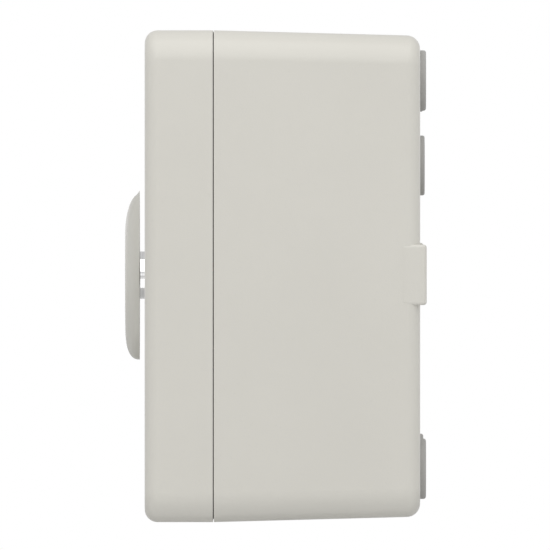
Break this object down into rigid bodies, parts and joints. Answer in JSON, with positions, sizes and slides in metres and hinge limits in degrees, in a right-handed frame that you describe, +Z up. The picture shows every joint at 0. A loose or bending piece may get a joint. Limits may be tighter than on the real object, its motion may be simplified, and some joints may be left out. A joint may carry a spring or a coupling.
{
  "type": "wall battery unit",
  "caption": "Box-shaped wall battery with a lift-off front cover, a paddle isolator handle on the front, and rubber stand-off pads and lugs at the wall side.",
  "frame": {"origin": "centre of the rear housing's flat back face, where a wall bracket plate bears", "axes": "+Z up, -Y out of the front, +Y into the wall, +X to the right seen from the front"},
  "size_m": [0.39, 0.2003, 0.325],
  "materials": {
    "body_plastic": "fine moulded satin",
    "handle_plastic": "fine moulded satin",
    "white_plastic": "smooth moulded",
    "bright_chrome": "bright plated",
    "pad_rubber": "matte",
    "seal_rubber": "matte",
    "black_plastic": "fine moulded",
    "zinc_steel": "zinc plated",
    "brass": "machined",
    "sheet_aluminium": "mill finish",
    "cell_can": "drawn can",
    "copper": "copper, tinned at the ends",
    "winding": "enamelled copper",
    "circuit_board": "solder mask",
    "ferrite": "sintered",
    "sleeve": "shrink sleeve",
    "lid_plastic": "smoke grey",
    "red_cable": "insulated cable",
    "black_cable": "insulated cable"
  },
  "bodies": {
    "root": {"bms_board": "circuit_board", "bms_heat_sink": "sheet_aluminium", "breather_vent": "seal_rubber", "bulk_capacitor_1": "sleeve", "bulk_capacitor_2": "sleeve", "busbar_1": "copper", "busbar_2": "copper", "busbar_3": "copper", "busbar_4": "copper", "busbar_5": "copper", "busbar_6": "copper", "busbar_7": "copper", "cell_1": "cell_can", "cell_2": "cell_can", "cell_3": "cell_can", "cell_4": "cell_can", "cell_5": "cell_can", "cell_6": "cell_can", "cell_7": "cell_can", "cell_8": "cell_can", "cell_end_plate_left": "sheet_aluminium", "cell_end_plate_right": "sheet_aluminium", "cell_tray": "sheet_aluminium", "chassis_plate": "sheet_aluminium", "cover_gasket": "seal_rubber", "fuse_holder": "black_plastic", "inverter_board": "circuit_board", "inverter_heat_sink": "sheet_aluminium", "isolator_body": "black_plastic", "isolator_bracket": "zinc_steel", "isolator_lead": "red_cable", "main_fuse": "sleeve", "main_relay": "black_plastic", "module_strap_lower": "zinc_steel", "module_strap_upper": "zinc_steel", "negative_lead": "black_cable", "output_choke": "winding", "positive_lead": "red_cable", "rear_entry_bung": "pad_rubber", "rear_housing": "body_plastic", "terminal_block": "black_plastic", "terminal_cover": "lid_plastic", "transformer_core": "ferrite", "transformer_winding": "winding", "wall_pad_1": "pad_rubber", "wall_pad_2": "pad_rubber", "wall_pad_3": "pad_rubber", "wall_pad_4": "pad_rubber"},
    "cover": {"front_cover": "body_plastic", "cover_screw_1": "zinc_steel", "cover_screw_2": "zinc_steel", "cover_screw_3": "zinc_steel", "cover_screw_4": "zinc_steel", "handle_collar": "bright_chrome", "handle_seal": "seal_rubber", "collar_nut": "brass"},
    "handle": {"isolator_handle": "handle_plastic", "handle_clip": "zinc_steel"},
    "shaft": {"isolator_shaft": "zinc_steel", "isolator_rotor": "white_plastic"}
  },
  "joints": [
    {"name": "cover_lift", "type": "slide", "parent": "root", "child": "cover", "axis": [0, -1, 0], "range_m": [0, 0.2]},
    {"name": "handle_turn", "type": "hinge", "parent": "cover", "child": "handle", "pos_m": [0, 0, 0], "axis": [0, -1, 0], "range_deg": [0, 90]},
    {"name": "shaft_turn", "type": "hinge", "parent": "root", "child": "shaft", "pos_m": [0, 0, 0], "axis": [0, -1, 0], "range_deg": [0, 90]}
  ],
  "couplings": [
    {"joint": "shaft_turn", "follows": "handle_turn", "ratio": 1}
  ]
}
